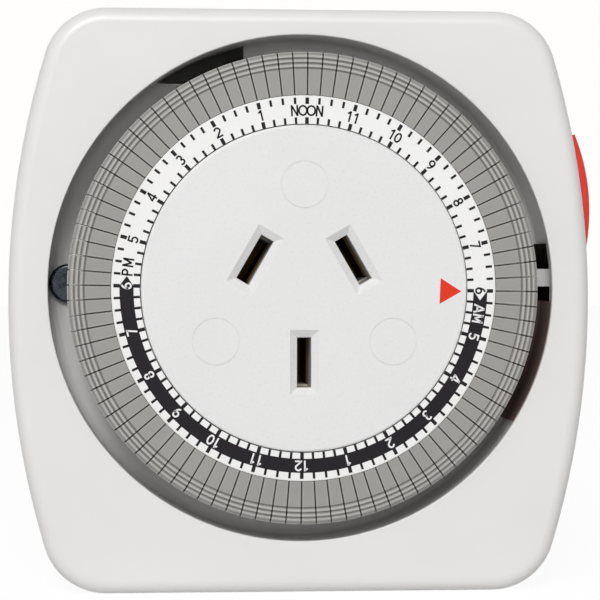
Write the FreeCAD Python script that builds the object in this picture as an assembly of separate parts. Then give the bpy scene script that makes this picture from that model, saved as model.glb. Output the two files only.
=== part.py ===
"""Plug-in 24 hour timer switch for the flat three-pin socket, in millimetres.

The model is drawn looking at its front: x to the right, z up, and h, the
height above the wall, towards the viewer.  The origin is on the dial's axis,
in the plane of the rear face that rests on the wall.  save() turns the drawing
so that +Z is up and the front looks along -Y.
"""
import FreeCAD
import Part
import math
import os

Vector = FreeCAD.Vector

# Housing
wall = 2.0                      # side walls and front
rear_wall = 2.2
rear_depth = 12.0               # wall face to the parting line
side_radius = 120.0             # the bowed left and right sides
corner_radius = 9.0
front_edge_radius = 2.0
rear_edge_radius = 1.5
housing_side_margin = 5.5       # well edge to the widest point of the side
housing_end_margin = 5.5        # well edge to the ends, on the average
housing_centre_z = -1.8         # the dial sits a little above the middle
tongue_height = 1.2             # of the joint between the two shells
post_inset = 6.6                # screw posts, in from the side and the end
post_radius = 3.0
rear_post_radius = 3.8

# Clearances
fit = 0.05                      # sliding and running faces
slack = 0.15                    # loose fits between mouldings

# Socket disc, dial and segments, from the middle outwards
disc_radius = 22.7
disc_thickness = 2.0
disc_overhang = 2.3             # over the dial's inner ledge
scale_width = 3.85              # the printed ring
segment_length = 6.0            # along the radius
segment_count = 96              # one for each quarter of an hour
segment_gap = 0.15              # between neighbours
well_gap = 2.65                 # segments to the well's edge
dial_rest_turn = -0.75          # degrees, NOON a little right of the top

# Heights of the well and the dial
well_depth = 10.0
floor_thickness = 1.6
skirt_thickness = 1.2
well_cove = 1.2                 # rounded corner between floor and skirt
well_edge_radius = 0.2
boss_thickness = 1.5
washer_thickness = 0.9
dial_gear_height = 2.5
dial_height = 10.0              # flange underside to the printed face
dial_wall = 1.2
flange_thickness = 1.5
ledge_drop = 1.9                # printed face to the ledge under the disc
disc_rise = 0.5                 # disc face above the printed face
segment_rise = 0.1              # segment tops above the printed face
segment_cap = 3.4
stem_width = 1.0
stem_length = 2.0
stem_inset = 2.2                # stem behind the segment's inner end
groove_depth = 0.22
groove_width = 0.34
groove_insets = (2.3, 1.6, 0.95)    # finger grooves, from the segment's outer end

# Flat pins and their slots
pin_width = 6.35
pin_thickness = 1.63
live_pin_circle = 7.92          # live and neutral, from the axis
live_pin_rise = 30.0            # degrees above the level through the axis
live_pin_lean = 30.0            # degrees from upright, tops leaning together
earth_pin_drop = 10.31
live_pin_length = 17.3
earth_pin_length = 19.94
sleeve_length = 8.5
sleeve_wall = 0.3
slot_width = 2.0
slot_length = 7.0
slot_chamfer = 1.05
slot_chamfer_depth = 0.9
pin_inner_height = 8.0          # pins end here, above the wall face
leaf_thickness = 0.6            # socket contact leaves
contact_width = 6.2
contact_height = 9.5
contact_drop = 2.0              # contacts below the carrier's plate
contact_stem = 0.9
chimney_wall = 0.8
chimney_base = 10.0
carrier_thickness = 2.5
peg_radius = 1.6
peg_circle_radius = 14.4
peg_angles = (90.0, -31.0, -149.0)
mark_radius = 3.3               # round moulding marks over the pegs
mark_size = 0.1                 # depth of their groove
lug_half_width = 2.6            # under the contact carrier
lug_thickness = 1.7
peg_head = 0.6                  # the melted head stands out this far
pin_holder = 4.0                # wall of both sides round a plug pin

# Gear train between the chassis plate and the well floor
mechanism_gap = 9.2             # plate to floor
plate_thickness = 1.2
dial_module = 0.5
train_module = 0.4
pressure_angle = 25.0
backlash = 0.09
dial_gear_rim = 2.5             # bore to pitch circle
dial_pinion_teeth = 16
wheel_teeth = 48
pinion_teeth = 12
wheel_thickness = 1.5
dial_pinion_angle = 250.0       # where it meets the dial, degrees from +x
axle_radius = 0.8
strap_half_width = 4.0          # arms of the chassis plate
motor_side_gap = 2.0
motor_end_gap = 7.8
motor_rear_gap = 2.8
motor_radius = 13.0
motor_height = 11.0
motor_wall = 0.8
rotor_radius = 5.0
bobbin_flange = 0.8
shaft_radius = 1.0
lead_radius = 0.65
lead_bend = 4.0
neutral_lead_run = 14.5         # from its bend to the neutral contact

# Switch on the right of the well
switch_inset = 0.55             # inside the segments' outer ends
switch_width = 4.2
follower_pivot_z = -16.0
follower_pivot_drop = 2.9       # below the well floor
follower_reach = 17.5           # pivot to the middle of the head
follower_head_width = 2.5
follower_head_length = 5.6
follower_head_beyond = 1.3      # the head reaches out past the well's edge
follower_angle = 5.9            # degrees, pressed
follower_thickness = 2.4
nose_reach = 14.0               # pivot to the nose that presses the blade
blade_thickness = 0.4
blade_drop = 4.1                # blade below the follower's pivot
blade_anchor_z = -24.0
rivet_z = 1.0
rivet_radius = 1.5
rivet_height = 1.0
rivet_stem_radius = 0.8
blade_tip = 2.5                 # beyond the rivet's middle
anchor_length = 2.6             # clamped end of the moving blade
closed_gap = 0.1                # left between the rivets when pressed
strip_thickness = 0.6
strip_width = 4.2
pivot_pin_radius = 0.75
ear_reach = 2.2                 # round the follower's pin
ear_thickness = 1.5
pin_end = 1.5                   # of the follower's pin, in each ear
pin_hole_depth = 2.2
strip_margin = 1.6              # the supply strip is narrower than the switched one

# Openings of the well: to the switch, and a window at the upper left
slot_opening_inset = 3.35       # inside the segments' outer ends
slot_opening_low = -18.4
slot_opening_high = 6.4
window_opening_x = -7.6
window_opening_left = -22.0
window_opening_inset = 6.3      # from the well's edge
guard_thickness = 0.8           # fibre sheet between the switch and the side wall
guard_low = 12.0
guard_bottom = -20.0
guard_top = 3.5

# Red override rocker in the right side
rocker_z = 13.5
rocker_front_gap = 7.0
rocker_width = 10.0             # along h
rocker_half_length = 8.2
rocker_face_radius = 29.5
rocker_stand_out = 2.2
rocker_tilt = 6.0               # degrees, lower end out
rocker_pivot_inset = 1.7        # inside the side wall
rocker_boss_radius = 1.9
rocker_back = 1.5               # pivot to the button's back
rocker_tail = 6.0
rocker_tail_half = 1.0
shelf_half_length = 2.6         # the two shelves that hold its pin
shelf_thickness = 1.7
override_arm = 12.3             # blade anchor to the rocker's tail
override_clamp = 1.3            # length of the blade on its post
override_post_thickness = 1.2
tab_width = 2.0
tab_beyond = 0.8                # blade and tab go on past the tail's end
blade_edge_gap = 0.4            # tail stands out past the blade's two edges

# Screws
screw_radius = 1.2
screw_head_radius = 2.6
screw_head_height = 1.6
visible_screw_inset = 2.9       # from the well's edge
visible_screw_z = 0.6
visible_screw_radius = 2.8
hidden_screw_inset = 6.2
hidden_screw_angle = -60.0
pilot_depth = 12.0
chassis_post_radius = 2.5
visible_screw_head = 1.3
visible_screw_turn = 20.0       # degrees
recess_depth = 0.9              # cross recess
recess_arm = 1.5
recess_half_width = 0.32
motor_screw_radius = 0.85
motor_screw_head_radius = 1.6

# Sizes that follow
scale_inner = disc_radius + slack
scale_outer = scale_inner + scale_width
segment_inner = scale_outer + slack
segment_outer = segment_inner + segment_length
well_radius = segment_outer + well_gap
half_width = well_radius + housing_side_margin
housing_half_height = well_radius + housing_end_margin
boss_outer = disc_radius - disc_overhang - 2 * slack
boss_inner = boss_outer - boss_thickness
dial_bore = boss_outer + 2 * slack
dial_inner_wall = dial_bore + dial_wall
flange_outer = segment_outer - 2 * slack

motor_bottom = rear_wall + motor_rear_gap
motor_top = motor_bottom + motor_height
plate_bottom = motor_top
plate_top = plate_bottom + plate_thickness
floor_bottom = plate_top + mechanism_gap
floor_top = floor_bottom + floor_thickness
front_height = floor_top + well_depth
dial_base = floor_top + washer_thickness + 2 * fit
flange_bottom = dial_base + dial_gear_height
scale_top = flange_bottom + dial_height
ledge_top = scale_top - ledge_drop
disc_top = scale_top + disc_rise
disc_bottom = disc_top - disc_thickness
boss_top = disc_bottom
carrier_bottom = disc_bottom - carrier_thickness
segment_top = scale_top + segment_rise

motor_x = -(half_width - wall - motor_side_gap - motor_radius)
motor_z = housing_centre_z - housing_half_height + wall + motor_end_gap + motor_radius
switch_x = segment_outer - switch_inset
slot_opening_x = segment_outer - slot_opening_inset
window_opening_z = well_radius - window_opening_inset
rocker_low = front_height - rocker_front_gap - rocker_width
visible_screw_x = -(well_radius - visible_screw_inset)
hidden_screw_radius = well_radius - hidden_screw_inset

dial_gear_teeth = round(2 * (dial_inner_wall + dial_gear_rim) / dial_module)
segment_pitch = 360.0 / segment_count


# Helpers

def polar(radius, degrees):
    angle = math.radians(degrees)
    return radius * math.cos(angle), radius * math.sin(angle)


def disc(radius, low, high, x=0.0, z=0.0):
    return Part.makeCylinder(radius, high - low, Vector(x, z, low))


def ring(inner, outer, low, high, x=0.0, z=0.0):
    return disc(outer, low, high, x, z).cut(disc(inner, low, high, x, z))


def block(left, right, bottom, top, low, high):
    corner = Vector(left, bottom, low)
    return Part.makeBox(right - left, top - bottom, high - low, corner)


def turned(shape, degrees, x=0.0, z=0.0):
    copy = shape.copy()
    copy.rotate(Vector(x, z, 0), Vector(0, 0, 1), degrees)
    return copy


def moved(shape, x, z, h=0.0):
    copy = shape.copy()
    copy.translate(Vector(x, z, h))
    return copy


def joined(shapes):
    result = shapes[0]
    if len(shapes) > 1:
        result = result.fuse(shapes[1:])
    return result.removeSplitter()


def strap(start, end, half_width_of_strap, low, high):
    """A flat bar with round ends between two points of the drawing."""
    across = math.hypot(end[0] - start[0], end[1] - start[1])
    angle = math.degrees(math.atan2(end[1] - start[1], end[0] - start[0]))
    bar = block(0, across, -half_width_of_strap, half_width_of_strap, low, high)
    bar = moved(turned(bar, angle), start[0], start[1])
    ends = [disc(half_width_of_strap, low, high, *start)]
    ends.append(disc(half_width_of_strap, low, high, *end))
    return joined([bar] + ends)


def strip(points, width, low, high):
    """A square-cornered flat strip through points joined by upright or level runs."""
    half = width / 2
    runs = []
    for start, end in zip(points, points[1:]):
        left, right = sorted((start[0], end[0]))
        bottom, top = sorted((start[1], end[1]))
        runs.append(block(left - half, right + half, bottom - half, top + half, low, high))
    return joined(runs)


def side_x(z, inset=0.0):
    """How far the right side, or a wall inside it, lies from the axis at z."""
    radius = side_radius - inset
    return half_width - side_radius + math.sqrt(radius ** 2 - (z - housing_centre_z) ** 2)


def housing_block(inset, low, high):
    """The housing's outline, drawn in by inset, between two heights."""
    top = housing_centre_z + housing_half_height - inset
    bottom = housing_centre_z - housing_half_height + inset
    corner = side_x(top, inset)
    middle = half_width - inset
    corners = [(corner, top), (-corner, top), (-corner, bottom), (corner, bottom)]
    corners = [Vector(x, z, low) for x, z in corners]
    edges = [Part.LineSegment(corners[0], corners[1]).toShape()]
    left_middle = Vector(-middle, housing_centre_z, low)
    edges.append(Part.Arc(corners[1], left_middle, corners[2]).toShape())
    edges.append(Part.LineSegment(corners[2], corners[3]).toShape())
    right_middle = Vector(middle, housing_centre_z, low)
    edges.append(Part.Arc(corners[3], right_middle, corners[0]).toShape())
    prism = Part.Face(Part.Wire(edges)).extrude(Vector(0, 0, high - low))
    upright = [e for e in prism.Edges if abs(e.Length - (high - low)) < 1e-6 and is_upright(e)]
    return prism.makeFillet(corner_radius - inset, upright)


def is_upright(edge):
    first, last = edge.Vertexes[0].Point, edge.Vertexes[-1].Point
    return abs(first.x - last.x) < 1e-6 and abs(first.y - last.y) < 1e-6


def edges_at(shape, height):
    """Edges that lie in one level plane."""
    return [e for e in shape.Edges
            if abs(e.BoundBox.ZMin - height) < 1e-6 and abs(e.BoundBox.ZMax - height) < 1e-6]


def slot_shape(length, width, low, high, place):
    """An upright block for a pin, slot or contact at one of the three places."""
    x, z, long_axis = place
    bar = block(-length / 2, length / 2, -width / 2, width / 2, low, high)
    return moved(turned(bar, long_axis), x, z)


live_x, live_z = polar(live_pin_circle, 180 - live_pin_rise)
live_place = (live_x, live_z, 90 - live_pin_lean)
neutral_place = (-live_x, live_z, 90 + live_pin_lean)
earth_place = (0.0, -earth_pin_drop, 90.0)
places = (live_place, neutral_place, earth_place)


# Gears

def involute(angle):
    return math.tan(angle) - angle


def gear_wire(teeth, module):
    """Outline of a spur gear, with its first tooth centred on +x."""
    pressure = math.radians(pressure_angle)
    pitch = module * teeth / 2
    base = pitch * math.cos(pressure)
    tip = pitch + 0.9 * module
    root = pitch - 1.2 * module
    half_pitch_tooth = math.pi / (2 * teeth) - backlash / (2 * pitch)
    flank_start = max(base, root)

    def flank(radius):
        slope = math.acos(min(1.0, base / radius))
        return half_pitch_tooth + involute(pressure) - involute(slope)

    radii = (flank_start, (flank_start + tip) / 2, tip)

    def at(radius, angle):
        return Vector(radius * math.cos(angle), radius * math.sin(angle), 0)

    edges = []
    step = 2 * math.pi / teeth
    for tooth in range(teeth):
        middle = tooth * step
        up = [at(r, middle - flank(r)) for r in radii]
        down = [at(r, middle + flank(r)) for r in reversed(radii)]
        foot = at(root, middle - flank(flank_start))
        heel = at(root, middle + flank(flank_start))
        next_foot = at(root, middle + step - flank(flank_start))
        if foot.distanceToPoint(up[0]) > 1e-4:
            edges.append(Part.LineSegment(foot, up[0]).toShape())
        edges.append(Part.Arc(*up).toShape())
        edges.append(Part.Arc(up[-1], at(tip, middle), down[0]).toShape())
        edges.append(Part.Arc(*down).toShape())
        if heel.distanceToPoint(down[-1]) > 1e-4:
            edges.append(Part.LineSegment(down[-1], heel).toShape())
        edges.append(Part.Arc(heel, at(root, middle + step / 2), next_foot).toShape())
    return Part.Wire(edges)


def gear(teeth, module, low, high, place, tooth_towards=None, gap_towards=None):
    """A solid spur gear whose tooth, or gap, points to another gear's centre."""
    solid = Part.Face(gear_wire(teeth, module)).extrude(Vector(0, 0, high - low))
    target = tooth_towards or gap_towards
    angle = math.degrees(math.atan2(target[1] - place[1], target[0] - place[0]))
    if gap_towards:
        angle += 180.0 / teeth
    return moved(turned(solid, angle), place[0], place[1], low)


def meeting_point(first, second, distance):
    """The point at one distance from two others, on the side of the axis."""
    along_x, along_z = second[0] - first[0], second[1] - first[1]
    apart = math.hypot(along_x, along_z)
    off = math.sqrt(max(distance ** 2 - (apart / 2) ** 2, 0.0))
    middle = ((first[0] + second[0]) / 2, (first[1] + second[1]) / 2)
    sides = []
    for sign in (1, -1):
        x = middle[0] - sign * off * along_z / apart
        z = middle[1] + sign * off * along_x / apart
        sides.append((x, z))
    return min(sides, key=lambda point: math.hypot(*point))


axis = (0.0, 0.0)
dial_pinion_distance = dial_module * (dial_gear_teeth + dial_pinion_teeth) / 2
train_distance = train_module * (wheel_teeth + pinion_teeth) / 2
gear_2_place = polar(dial_pinion_distance, dial_pinion_angle)
motor_place = (motor_x, motor_z)
gear_1_place = meeting_point(motor_place, gear_2_place, train_distance)

# Levels and places that the pieces share
wheel_1_low = plate_top + 0.6
wheel_1_high = wheel_1_low + wheel_thickness
wheel_2_low = wheel_1_high + 0.9
wheel_2_high = wheel_2_low + wheel_thickness
sleeve_radius = 2.0
clutch_washer_radius = 5.6
clutch_washer_wall = 0.5
hub_radius = 1.5
collar_thickness = 0.6
clutch_ring_high = floor_bottom - 0.8
clutch_ring_low = clutch_ring_high - 0.6
dial_pinion_low = floor_top + 0.5
dial_pinion_high = flange_bottom - 0.3
axle_2_top = dial_pinion_high - 0.4

follower_pivot_h = floor_bottom - follower_pivot_drop
head_top = flange_bottom - 0.6
press = math.radians(follower_angle)
blade_top = follower_pivot_h - blade_drop
blade_bottom = blade_top - blade_thickness
rivet_fall = nose_reach * press * (rivet_z - blade_anchor_z)
rivet_fall /= follower_pivot_z + nose_reach - blade_anchor_z
moving_rivet_bottom = blade_bottom - rivet_height
fixed_rivet_top = moving_rivet_bottom - rivet_fall - closed_gap
fixed_strip_top = fixed_rivet_top - rivet_height
fixed_strip_bottom = fixed_strip_top - strip_thickness

rocker_pivot_x = side_x(rocker_z, wall) - rocker_pivot_inset
rocker_high = rocker_low + rocker_width
tail_high = floor_bottom - 1.4
tail_low = rocker_low
tail_end_x = rocker_pivot_x - rocker_tail
override_anchor_x = tail_end_x - override_arm
override_low_z = rocker_z + rocker_tail_half + slack    # the blade's side that the tail pushes
override_travel = rocker_tail * math.radians(2 * rocker_tilt)
override_tab_z = override_low_z + blade_thickness + override_travel + closed_gap
switch_left = switch_x - switch_width / 2
switch_right = switch_x + switch_width / 2
crossing_z = override_tab_z + strip_width / 2 + 1.0    # level runs of the live strips
live_strip_low = pin_inner_height
live_strip_high = live_strip_low + strip_thickness

hidden_screw = polar(hidden_screw_radius, hidden_screw_angle)
plate_screws = ((visible_screw_x, visible_screw_z), hidden_screw)
post_z = housing_half_height - post_inset
post_x = side_x(housing_centre_z + post_z) - post_inset
post_places = [(sx * post_x, housing_centre_z + sz * post_z) for sx in (1, -1) for sz in (1, -1)]


# Housing

def well_cuts():
    """The two openings of the well floor; the one to the switch goes on up the skirt."""
    low, high = floor_bottom - 1, front_height - wall
    far = 2 * well_radius
    slot = block(slot_opening_x, far, slot_opening_low, slot_opening_high, low, high)
    slot = slot.common(disc(well_radius + skirt_thickness + 0.1, low, high))
    window = block(window_opening_left, window_opening_x, window_opening_z, far, low, high)
    window = window.common(disc(well_radius, low, floor_top + well_cove + 0.1))
    return [slot, window]


def follower_ears():
    """Two ears that hold the follower's pin, one on the floor, one on the side wall."""
    low, high = follower_pivot_h - ear_reach, floor_bottom + 0.2
    bottom, top = follower_pivot_z - ear_reach, follower_pivot_z + ear_reach
    gap = follower_head_length / 2 + slack
    inner = block(switch_x - gap - ear_thickness, switch_x - gap, bottom, top, low, high)
    outer = block(switch_x + gap, half_width, bottom, top, low, high)
    outer = outer.common(housing_block(wall / 2, rear_depth + tongue_height, front_height))
    return [inner, outer]


def rocker_ears():
    """Two shelves on the side wall that hold the rocker's pin."""
    shelves = []
    for low in (rocker_low - 2.0, rocker_high + 0.3):
        bar = block(rocker_pivot_x - rocker_boss_radius, half_width, rocker_z - shelf_half_length,
                    rocker_z + shelf_half_length, low, low + shelf_thickness)
        shelves.append(bar.common(housing_block(wall / 2, rear_depth + tongue_height, front_height)))
    return shelves


def carrier_lugs():
    """Three lugs inside the boss that the contact carrier rests on."""
    low, high = carrier_bottom - lug_thickness, carrier_bottom
    lugs = []
    for angle in peg_angles:
        lug = block(peg_circle_radius - lug_half_width, boss_inner + 0.4, -lug_half_width,
                    lug_half_width, low, high)
        lug = lug.cut(disc(peg_radius + fit, low, high, peg_circle_radius, 0))
        lugs.append(turned(lug, angle))
    return lugs


def front_housing():
    shell = housing_block(0, rear_depth, front_height)
    shell = shell.makeFillet(front_edge_radius, edges_at(shell, front_height))
    shell = shell.cut(housing_block(wall, rear_depth, front_height - wall))
    rebate = housing_block(wall / 2, rear_depth, rear_depth + tongue_height + slack)
    shell = shell.cut(rebate.cut(housing_block(wall, rear_depth, front_height)))
    shell = shell.cut(disc(well_radius, front_height - wall, front_height)).cut(rocker_window())
    skirt = ring(well_radius, well_radius + skirt_thickness, floor_bottom, front_height - wall / 2)
    floor = ring(boss_inner, well_radius + skirt_thickness, floor_bottom, floor_top)
    boss = ring(boss_inner, boss_outer, floor_bottom, boss_top)
    cove = ring(well_radius - well_cove, well_radius + 0.1, floor_top - 0.1, floor_top + well_cove)
    centre = Vector(0, 0, floor_top + well_cove)
    cove = cove.cut(Part.makeTorus(well_radius - well_cove, well_cove, centre))
    head_room = [disc(visible_screw_radius + slack, floor_top - 0.2, floor_top + 2, x, z)
                 for x, z in plate_screws]
    cove = cove.cut(Part.makeCompound(head_room))
    posts = [disc(post_radius, rear_depth, front_height - wall / 2, x, z) for x, z in post_places]
    posts += [disc(chassis_post_radius, plate_top, floor_bottom + 0.2, x, z) for x, z in plate_screws]
    brackets = follower_ears() + rocker_ears() + carrier_lugs()
    shell = joined([shell, skirt, floor, cove, boss] + posts + brackets)
    cuts = well_cuts()
    cuts += [disc(screw_radius + fit, rear_depth, rear_depth + pilot_depth, x, z) for x, z in post_places]
    cuts += [disc(screw_radius + fit, plate_top, floor_top, x, z) for x, z in plate_screws]
    cuts.append(disc(sleeve_radius + 0.1, floor_bottom, floor_top, *gear_2_place))
    bore = follower_head_length / 2 + pin_hole_depth
    cuts.append(pin_along_x(follower_pivot_h, follower_pivot_z, switch_x - bore, switch_x + bore, fit))
    cuts.append(disc(pivot_pin_radius + fit, rocker_low - 2.0, rocker_high + 2.0, rocker_pivot_x, rocker_z))
    shell = shell.cut(Part.makeCompound(cuts))
    rim = [e for e in edges_at(shell, front_height) if abs(e.Length - 2 * math.pi * well_radius) < 0.01]
    return shell.makeFillet(well_edge_radius, rim)


def rocker_window():
    clearance = 0.25
    swing = (side_x(rocker_z) + rocker_stand_out - rocker_pivot_x) * math.sin(math.radians(rocker_tilt))
    half = rocker_half_length + swing + clearance
    return block(rocker_pivot_x - rocker_boss_radius, half_width + 2, rocker_z - half,
                 rocker_z + half, rocker_low - clearance, rocker_high + clearance)


def rear_housing():
    shell = housing_block(0, 0, rear_depth)
    shell = shell.makeFillet(rear_edge_radius, edges_at(shell, 0))
    shell = shell.cut(housing_block(wall, rear_wall, rear_depth))
    tongue = housing_block(wall / 2 + fit, rear_depth - 1, rear_depth + tongue_height)
    tongue = tongue.cut(housing_block(wall, rear_depth - 1, rear_depth + tongue_height))
    pieces = [shell, tongue]
    pieces += [disc(rear_post_radius, rear_wall - 0.2, rear_depth, x, z) for x, z in post_places]
    for place in places:
        pieces.append(slot_shape(pin_width + pin_holder, pin_thickness + pin_holder,
                                 rear_wall - 0.2, pin_inner_height - 1.5, place))
    pieces += [block(left, right, bottom, top, rear_wall - 0.2, high)
               for left, right, bottom, top, high in strip_supports()]
    shell = joined(pieces)
    cuts = [slot_shape(pin_width, pin_thickness, 0, rear_depth, place) for place in places]
    for x, z in post_places:
        cuts.append(disc(screw_head_radius + 0.2, 0, rear_depth / 2, x, z))
        cuts.append(disc(screw_radius + slack, 0, rear_depth, x, z))
    return shell.cut(Part.makeCompound(cuts))


def strip_supports():
    """Ribs that stand on the rear wall under the two live strips: plan box and top."""
    half = strip_width / 2
    run_x = override_anchor_x
    return [
        (run_x - half, run_x + half, crossing_z - 1, crossing_z + 1, live_strip_low),
        (switch_left, switch_right, blade_anchor_z - anchor_length, blade_anchor_z - 0.4, live_strip_low),
        (switch_left, switch_right, 5.0, 7.0, fixed_strip_bottom),
    ]


def housing_screws():
    screws = []
    for x, z in post_places:
        head = disc(screw_head_radius, rear_depth / 2 - screw_head_height, rear_depth / 2, x, z)
        shank = disc(screw_radius, rear_depth / 2, rear_depth + pilot_depth - 1, x, z)
        screws.append(joined([head, shank]).cut(cross_recess(x, z, rear_depth / 2 - screw_head_height)))
    return Part.makeCompound(screws)


def cross_recess(x, z, face, towards_viewer=False):
    low = face - recess_depth if towards_viewer else face
    high = low + recess_depth
    arm, half = recess_arm, recess_half_width
    flat = block(x - arm, x + arm, z - half, z + half, low, high)
    upright = block(x - half, x + half, z - arm, z + arm, low, high)
    return flat.fuse(upright)


def chassis_screws():
    """Screws through the well floor into the chassis plate."""
    screws = []
    for x, z in plate_screws:
        top = floor_top + visible_screw_head
        head = disc(visible_screw_radius, floor_top, top, x, z)
        head = head.makeFillet(0.5, edges_at(head, top))
        shank = disc(screw_radius, plate_bottom - 0.8, floor_top, x, z)
        recess = turned(cross_recess(x, z, top, True), visible_screw_turn, x, z)
        screws.append(joined([head, shank]).cut(recess))
    return Part.makeCompound(screws)


# Socket

def socket_cut(place):
    """A slot with a bevelled surround, cut through the disc."""
    through = slot_shape(slot_length, slot_width, disc_bottom - 1, disc_top + 1, place)
    x, z, long_axis = place
    profiles = []
    for grow, height in ((0.0, disc_top - slot_chamfer_depth), (slot_chamfer, disc_top)):
        half_long, half_wide = slot_length / 2 + grow, slot_width / 2 + grow
        corners = [Vector(-half_long, -half_wide, height), Vector(half_long, -half_wide, height),
                   Vector(half_long, half_wide, height), Vector(-half_long, half_wide, height)]
        profiles.append(Part.makePolygon(corners + corners[:1]))
    funnel = Part.makeLoft(profiles, True, True)
    return through.fuse(moved(turned(funnel, long_axis), x, z))


def socket_face():
    face = disc(disc_radius, disc_bottom, disc_top)
    face = face.makeFillet(0.3, edges_at(face, disc_top))
    pegs = []
    for angle in peg_angles:
        x, z = polar(peg_circle_radius, angle)
        under_lug = carrier_bottom - lug_thickness
        pegs.append(disc(peg_radius, under_lug, disc_bottom + 0.3, x, z))
        pegs.append(disc(peg_radius + peg_head, under_lug - 0.8, under_lug, x, z))
    face = joined([face] + pegs)
    cuts = [socket_cut(place) for place in places]
    for angle in peg_angles:
        x, z = polar(peg_circle_radius, angle)
        cuts.append(ring(mark_radius - mark_size, mark_radius, disc_top - mark_size, disc_top, x, z))
    return face.cut(Part.makeCompound(cuts))


contact_thickness = slot_width + 2 * leaf_thickness
contact_top = carrier_bottom - contact_drop
contact_bottom = contact_top - contact_height


def contact_carrier():
    """The moulding under the disc, with a chimney round each contact."""
    plate = disc(boss_inner - slack, carrier_bottom, disc_bottom)
    length = contact_width + 2 * slack
    width = contact_thickness + 2 * slack
    chimneys = []
    for place in places:
        chimneys.append(slot_shape(length + 2 * chimney_wall, width + 2 * chimney_wall,
                                   chimney_base, disc_bottom - 0.2, place))
    cuts = [slot_shape(length, width, chimney_base, contact_top + slack, place) for place in places]
    cuts += [slot_shape(slot_length, slot_width, contact_top, disc_bottom, place) for place in places]
    for angle in peg_angles:
        x, z = polar(peg_circle_radius, angle)
        cuts.append(disc(peg_radius + fit, carrier_bottom, disc_bottom, x, z))
    half = strip_width / 2 + slack
    strip_window = block(live_place[0] - half, live_place[0] + half, live_place[1] - half, crossing_z,
                         fixed_strip_bottom - slack, fixed_strip_top + slack)
    cuts.append(strip_window)
    return joined([plate] + chimneys).cut(Part.makeCompound(cuts))


def contact_clip(place, stem_bottom):
    """Two spring leaves joined below, on a stem that goes down to its strip or pin."""
    body = slot_shape(contact_width, contact_thickness, contact_bottom, contact_top, place)
    body = body.cut(slot_shape(contact_width, pin_thickness - 0.1,
                               contact_bottom + leaf_thickness, contact_top, place))
    stem_width = contact_width - strip_margin
    stem = slot_shape(stem_width, contact_stem, stem_bottom, contact_bottom + 0.1, place)
    return joined([body, stem])


def plug_pin(place, length, sleeved):
    pin = slot_shape(pin_width, pin_thickness, -length, pin_inner_height, place)
    pin = pin.makeChamfer(0.35, edges_at(pin, -length))
    if sleeved:
        pin = pin.cut(pin_sleeve(place))
    return pin


def pin_sleeve(place):
    outer = slot_shape(pin_width, pin_thickness, -sleeve_length, 0, place)
    inner = slot_shape(pin_width - 2 * sleeve_wall, pin_thickness - 2 * sleeve_wall,
                       -sleeve_length, 0, place)
    return outer.cut(inner)


# Dial

def revolved(points, degrees=360.0, start=0.0):
    """A solid of revolution about the dial's axis from (radius, height) corners."""
    corners = [Vector(r, 0, h) for r, h in points]
    face = Part.Face(Part.makePolygon(corners + corners[:1]))
    solid = face.revolve(Vector(0, 0, 0), Vector(0, 0, 1), degrees)
    return turned(solid, start)


def segment_angle(index):
    """Middle of a segment: number 0 comes just after NOON, and hours run to the left."""
    return 90.0 + dial_rest_turn + segment_pitch * (index + 0.5)


def stem_radii():
    inner = segment_inner + stem_inset
    return inner, inner + stem_length


def dial_ring():
    outer_wall = scale_outer - dial_wall
    ledge_bottom = ledge_top - dial_wall
    face_bottom = scale_top - dial_wall
    body = revolved([
        (dial_bore, dial_base), (dial_inner_wall, dial_base), (dial_inner_wall, ledge_bottom),
        (scale_inner - dial_wall + 0.5, ledge_bottom), (scale_inner + 0.3, face_bottom),
        (outer_wall, face_bottom), (outer_wall, flange_bottom), (flange_outer, flange_bottom),
        (flange_outer, flange_bottom + flange_thickness), (scale_outer, flange_bottom + flange_thickness),
        (scale_outer, scale_top), (scale_inner, scale_top), (scale_inner, ledge_top),
        (dial_bore, ledge_top)])
    inner, outer = stem_radii()
    half = stem_width / 2 + fit
    cut = block(inner - fit, outer + fit, -half, half, flange_bottom, flange_bottom + flange_thickness)
    cuts = [turned(cut, segment_angle(index)) for index in range(segment_count)]
    return body.cut(Part.makeCompound(cuts))


def dial_gear():
    solid = gear(dial_gear_teeth, dial_module, dial_base, flange_bottom, axis,
                 tooth_towards=gear_2_place)
    return solid.cut(disc(dial_inner_wall, dial_base, flange_bottom))


def segment(index):
    """A tripper: a grooved cap on a stem that slides through the dial's flange."""
    bottom = segment_top - segment_cap
    bevel = 0.6
    corners = [(segment_inner, bottom), (segment_outer - 0.5, bottom), (segment_outer, bottom + 0.8),
               (segment_outer, segment_top - bevel), (segment_outer - bevel, segment_top)]
    for inset in reversed(groove_insets):
        middle = segment_outer - inset
        corners.append((middle + groove_width / 2, segment_top))
        corners.append((middle, segment_top - groove_depth))
        corners.append((middle - groove_width / 2, segment_top))
    corners.append((segment_inner, segment_top))
    gap_angle = math.degrees(segment_gap / segment_outer)
    cap = revolved(corners, segment_pitch - gap_angle, -(segment_pitch - gap_angle) / 2)
    inner, outer = stem_radii()
    stem = block(inner, outer, -stem_width / 2, stem_width / 2, flange_bottom, bottom + 0.2)
    return turned(joined([cap, stem]), segment_angle(index))


def slip_washer():
    return ring(dial_bore, dial_inner_wall + dial_gear_rim - 1.0, floor_top,
                floor_top + washer_thickness)


# Motor and gears

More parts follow.
